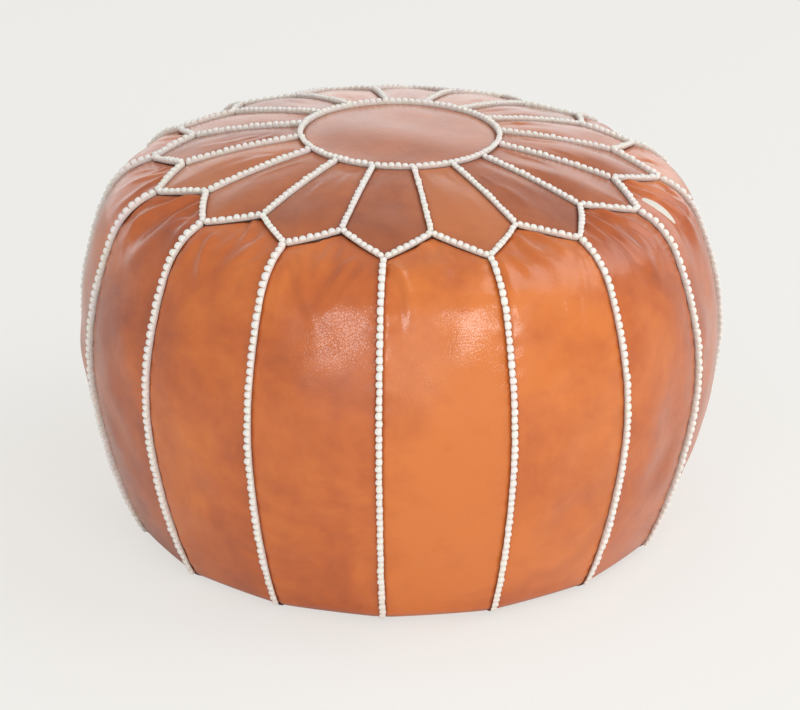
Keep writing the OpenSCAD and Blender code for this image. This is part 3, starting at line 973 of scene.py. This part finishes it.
# one half of the zip: a woven tape with the coil sewn under its inner edge. Each coil turn is a loop
# that reaches across the middle, and the other half's loops sit half a pitch further on
def zipHalf(name, side, nodes):
    rows, cols = zipLook["rows"], zipLook["columns"]
    x = np.linspace(tapeLow.x, tapeHigh.x, cols)
    y = np.linspace(zipLook["inner"], -tapeLow.y, rows)[:, None] * np.ones(cols)
    thick = tapeHigh.z - tapeLow.z
    top = np.stack([np.broadcast_to(x, y.shape), y, np.full(y.shape, tapeHigh.z)], -1).reshape(-1, 3)
    bottom = top - [0, 0, thick]
    grid = gridFaces(rows, cols)
    rim = np.concatenate([np.arange(cols), np.arange(1, rows) * cols + cols - 1,
                          np.arange(cols - 2, -1, -1) + (rows - 1) * cols,
                          np.arange(rows - 2, 0, -1) * cols])
    nextRim = np.roll(rim, -1)
    count = rows * cols
    wall = np.stack([rim, rim + count, nextRim + count, nextRim], -1)
    parts = [(np.vstack([top, bottom]), grid.tolist() + (grid[:, ::-1] + count).tolist() + wall.tolist())]
    wire = zipLook["wire"]
    low, high = coilLow.z + wire, tapeLow.z - wire
    start, end = coilLow.x + zipLook["pitch"], coilHigh.x - zipLook["pitch"]
    turns = int((end - start) / zipLook["pitch"])
    shift = 0 if side > 0 else zipLook["pitch"] / 2
    loop = np.array([[0.0, 1.0, 0.5], [0.1, 0.5, 0.0], [0.25, 0.06, 0.1], [0.38, 0.0, 0.5], [0.5, 0.06, 0.9],
                     [0.65, 0.5, 1.0], [0.85, 0.96, 0.85]])
    path = []
    reachY = coilHigh.y - wire
    for k in range(turns):
        for along, across, level in loop:
            path.append([start + shift + (k + along * 0.8) * zipLook["pitch"],
                         -zipLook["hook"] + wire + across * (reachY + zipLook["hook"] - wire),
                         low + level * (high - low)])
    parts.append(tube(path, wire, 7, up=(1, 0.01, 0)))
    stitches = int((end - start) / zipLook["stitch"])
    stitchHalf, dip = zipLook["stitchLength"] / 2, zipLook["stitchDip"]
    ends = (zipLook["stitchAt"], coilLow.z + dip)
    middle = (zipLook["stitchAt"] + dip, coilLow.z)
    for k in range(stitches):
        at = start + (k + 0.2) * zipLook["stitch"]
        parts.append(tube([(at, *ends), (at + stitchHalf, *middle), (at + 2 * stitchHalf, *ends)],
                          zipLook["threadRadius"], 6))
    if side < 0:
        parts = [(p * [1, -1, 1], [row[::-1] for row in f]) for p, f in parts]
    obj = joined(name, parts)
    tapeFaces = 2 * len(grid) + len(wall)
    obj.data.polygons.foreach_set("use_smooth", np.arange(len(obj.data.polygons)) >= tapeFaces)
    place(obj, "cover", "zip_coil", coilPlastic, *nodes)
    return obj


# metal zip parts keep their exact shape, with the sharp edges taken off
def metalPart(name, node, body, edgeRadius):
    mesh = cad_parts[node].data.copy()
    mesh.name = name
    mesh.materials.clear()
    obj = bpy.data.objects.new(name, mesh)
    bpy.context.scene.collection.objects.link(obj)
    edge = obj.modifiers.new("edges", "BEVEL")
    edge.width, edge.segments, edge.limit_method = edgeRadius, 2, "ANGLE"
    edge.angle_limit = math.radians(40)
    return place(obj, body, "zip_brass", brass, node)


# a round cord in the seam between the base and the side panels
def basePiping():
    t = np.arange(300) * 2 * math.pi / 300
    low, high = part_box("base_piping")
    tubeR = (high.z - low.z) / 2
    ring = high.x - tubeR
    path = np.stack([ring * np.cos(t), ring * np.sin(t), np.full(300, (high.z + low.z) / 2)], -1)
    obj = joined("basePiping", [tube(path, tubeR, 10, True)])
    return place(obj, "cover", "base_piping", pipingLeather, "base_piping")


seamTail = {"topHeight": 13 * mm, "endHeight": 0.4 * mm, "under": 3 * mm, "sunk": 0.2 * mm,
            "radius": 1.0 * mm, "steps": 26}


# dark ends of the seams: a narrow strip that runs from the last stitches down under the foot; the seam's
# brown edge is real, its near-black tone is painted shade
def shadedSeamTails():
    parts = []
    for k in range(cover["panels"]):
        angle = cover["turn"] + (k + 0.5) * pitch
        s = np.linspace(lengthAtHeight(seamTail["topHeight"]),
                        lengthAtHeight(seamTail["endHeight"]) + seamTail["under"], seamTail["steps"])
        middle = coverPoint(np.full(len(s), angle), s, -seamTail["sunk"])
        middle[:, 2] = np.maximum(middle[:, 2], seamTail["radius"])
        outward = (math.cos(angle), math.sin(angle), 0.3)
        parts.append(tube(middle, seamTail["radius"], 10, up=outward))
    obj = joined("shadedSeamTails", parts)
    return place(obj, "cover", "base_piping", pipingLeather)


liner = {"inset": 9.0 * mm, "thick": 0.8 * mm, "neck": 60 * mm, "wave": 1.0 * mm, "around": 160}
flap = {"edge": 0.3 * mm, "round": 0.2 * mm, "around": 96}
# the filling's lumps shrink it about a middle point, as a share of its size
stuffing = {"inset": 11.5 * mm, "lump": 1.6 * mm, "fill": 0.85, "overDish": 22 * mm,
            "size": 250 * mm, "around": 140}


# section of a bag inside the cover: the outline moved in, then up and over the dish to a flat middle
def bagSection(inset, floorZ, endR):
    p, _, _ = coverOutline(inset)
    cut = p[:, 0].argmax() + np.argmax(p[p[:, 0].argmax():, 1] <= inset + 1e-6)
    p = p[:cut + 1]
    low = np.array([[base["flat"] + base["slope"] + 8 * mm, inset], [base["flat"] + 6 * mm, floorZ],
                    [endR, floorZ]])
    p = np.vstack([p, low])
    t = np.concatenate([[0], np.cumsum(np.hypot(*np.diff(p, axis=0).T))])
    at = np.linspace(0, t[-1], 220)
    return np.stack([np.interp(at, t, p[:, 0]), np.interp(at, t, p[:, 1])], -1), at


# a section turned round the axis, with one point at the top and, if closed, one at the bottom
def turned(name, section, around, shape, closeBottom):
    theta = np.arange(around) * 2 * math.pi / around
    r = section[:, 0][:, None] * np.ones(around)
    z = section[:, 1][:, None] * np.ones(around)
    points = np.stack([r * np.cos(theta), r * np.sin(theta), z], -1)
    points = shape(points)
    first, last = points[0].mean(0), points[-1].mean(0)
    body = points[1:-1] if closeBottom else points[1:]
    flat = body.reshape(-1, 3)
    n = len(body)
    faces = gridFaces(n, around, True)[:, ::-1].tolist()
    flat = np.vstack([flat, first[None]])
    faces += fanFaces(n * around, 0, around)
    if closeBottom:
        flat = np.vstack([flat, last[None]])
        faces += fanFaces(n * around + 1, (n - 1) * around, around, True)
    return joined(name, [(flat, faces)])


# the cotton bag inside the cover, open at the dish, with its cloth waving inwards
def linerBag():
    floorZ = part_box("liner_flap")[1].z + 0.4 * mm + liner["thick"]
    section, at = bagSection(liner["inset"], floorZ, liner["neck"])

    def waves(points):
        calm = np.clip((at[-1] - at) / (60 * mm), 0, 1)[:, None]
        grow = 1 - np.abs(liner["wave"] * (1 + lumps(points, 55 * mm, 31)) * 0.5 * calm) / 250 / mm
        points[..., :2] *= grow[..., None]
        return points

    obj = turned("linerBag", section, liner["around"], waves, False)
    thicken(obj, liner["thick"])
    return place(obj, "cover", "liner_cotton", cotton, "liner_bag")


# the round cloth under the bag's opening, a flat disc with its rim taken off
def linerFlap():
    low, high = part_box("liner_flap")
    rim, edge = high.x - flap["edge"], flap["round"]
    section = np.array([[0, high.z], [high.x * 0.3, high.z], [high.x * 0.7, high.z], [rim, high.z],
                        [high.x, high.z - edge], [high.x, low.z + edge], [rim, low.z],
                        [high.x * 0.6, low.z], [0, low.z]])
    obj = turned("linerFlap", section, flap["around"], lambda points: points, True)
    return place(obj, "cover", "liner_cotton", cotton, "liner_flap")


# the wadding: the bag's section moved further in, closed below, with slow lumps
def filling():
    section, _ = bagSection(stuffing["inset"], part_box("filling")[0].z + stuffing["overDish"], 0)

    def bumps(points):
        size = 1 - stuffing["lump"] * (1 + lumps(points, 60 * mm, 41)) * 0.5 / stuffing["size"]
        middle = np.array([0, 0, cover["widestHeight"]])
        return (points - middle) * size[..., None] + middle

    obj = turned("stuffing", section, stuffing["around"], bumps, True)
    place(obj, "cover", "filling_wadding", wadding, "filling")
    return obj


baseHalf("baseFront", -1, "base_half_front")
baseHalf("baseBack", 1, "base_half_back")
basePiping()
shadedSeamTails()
for name, side, nodes in (("zipFront", -1, ("zip_tape_front", "zip_coil_front")),
                          ("zipBack", 1, ("zip_tape_back", "zip_coil_back"))):
    half = zipHalf(name, side, nodes)
    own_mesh(half)
metalPart("zipTopStops", "zip_top_stops", "cover", 0.3 * mm)
metalPart("zipBottomStop", "zip_bottom_stop", "cover", 0.3 * mm)
metalPart("zipSlider", "zip_slider", "slider", 0.25 * mm)
metalPart("zipPull", "zip_pull", "pull", 0.3 * mm)
linerBag()
linerFlap()
filling()
print("base, zip and filling made")

studio = {
    "floor": (0.905, 0.896, 0.863),
    "floorTint": 0.31,        # share of the floor's colour that takes light and shadow
    "floorHalf": 14,
    "world": 0.62,
    "camera": {"lens": 135.4, "elevation": 23.23, "distance": 2.6035, "aimHeight": 0.1393},
    # each light: where it stands, its width and height, its power and the point it faces
    "lights": {
        "key": ((2.1, 0.0, 2.2), 2.2, 2.2, 28, (0, 0, 0.2)),
        "backdrop": ((0, 2.6, 0.85), 9.0, 1.7, 39, (0, 0, 0.6)),
        "front": ((1.5, -2.6, 1.35), 1.5, 0.45, 20, (0, 0, 0.2)),
        "frontLeft": ((-0.95, -2.7, 1.3), 0.7, 0.4, 9, (0, 0, 0.2)),
        "low": ((-0.3, -3.2, 0.75), 3.6, 1.0, 12, (0, 0, 0.15)),
    },
}


# the floor: its seen colour is part light and shadow and part even glow, and it bounces its full colour
def makeFloor():
    size = studio["floorHalf"]
    corners = np.array([[-size, -size, 0], [size, -size, 0], [size, size, 0], [-size, size, 0]], float)
    floor = addMesh("floor", corners, [[0, 1, 2, 3]])
    material, shader, add, join = nodeTools("floor")
    nodes = material.node_tree.nodes
    nodes.remove(shader)
    diffuse = add("ShaderNodeBsdfDiffuse")
    diffuse.inputs["Color"].default_value = (*[c * studio["floorTint"] for c in studio["floor"]], 1)
    glow = add("ShaderNodeEmission")
    glow.inputs["Color"].default_value = (*studio["floor"], 1)
    glow.inputs["Strength"].default_value = 1 - studio["floorTint"]
    total = add("ShaderNodeAddShader")
    join(diffuse.outputs[0], total.inputs[0])
    join(glow.outputs[0], total.inputs[1])
    bounce = add("ShaderNodeBsdfDiffuse")
    bounce.inputs["Color"].default_value = (*studio["floor"], 1)
    either = add("ShaderNodeMixShader")
    join(add("ShaderNodeLightPath").outputs["Is Camera Ray"], either.inputs["Fac"])
    join(bounce.outputs[0], either.inputs[1])
    join(total.outputs[0], either.inputs[2])
    join(either.outputs[0], nodes["Material Output"].inputs["Surface"])
    floor.data.materials.append(material)
    return floor


# an even white light all round, seen by the camera as the floor's colour
def makeWorld():
    world = bpy.data.worlds.new("studio")
    bpy.context.scene.world = world
    world.use_nodes = True
    tree = world.node_tree
    plain = tree.nodes["Background"]
    plain.inputs["Color"].default_value = (1, 1, 1, 1)
    plain.inputs["Strength"].default_value = studio["world"]
    seen = tree.nodes.new("ShaderNodeBackground")
    seen.inputs["Color"].default_value = (*studio["floor"], 1)
    path = tree.nodes.new("ShaderNodeLightPath")
    mix = tree.nodes.new("ShaderNodeMixShader")
    tree.links.new(path.outputs["Is Camera Ray"], mix.inputs["Fac"])
    tree.links.new(plain.outputs[0], mix.inputs[1])
    tree.links.new(seen.outputs[0], mix.inputs[2])
    tree.links.new(mix.outputs[0], tree.nodes["World Output"].inputs["Surface"])


# a rectangular lamp turned to face a point, by its angle round the axis and its height over it
def areaLight(name, at, width, height, power, aim):
    data = bpy.data.lights.new(name, "AREA")
    data.shape = "RECTANGLE"
    data.size, data.size_y, data.energy = width, height, power
    lamp = bpy.data.objects.new(name, data)
    bpy.context.scene.collection.objects.link(lamp)
    lamp.location = at
    lamp.visible_camera = False
    away = np.array(at, float) - np.array(aim, float)
    across = math.atan2(away[0], -away[1])
    lift = math.atan2(away[2], math.hypot(away[0], away[1]))
    lamp.rotation_euler = (math.pi / 2 - lift, 0, across)
    return lamp


# the camera looks along +Y, down by its elevation, at a point on the axis
def makeCamera():
    view = studio["camera"]
    data = bpy.data.cameras.new("camera")
    data.sensor_width = 36
    data.lens = view["lens"]
    camera = bpy.data.objects.new("camera", data)
    bpy.context.scene.collection.objects.link(camera)
    elevation, distance = math.radians(view["elevation"]), view["distance"]
    height = view["aimHeight"] + distance * math.sin(elevation)
    camera.location = (0, -distance * math.cos(elevation), height)
    camera.rotation_euler = (math.pi / 2 - elevation, 0, 0)
    bpy.context.scene.camera = camera


makeFloor()
makeWorld()
for name, setting in studio["lights"].items():
    areaLight(name, *setting).visible_diffuse = name != "backdrop"
makeCamera()
bpy.context.scene.view_settings.view_transform = "Standard"
print("studio made")
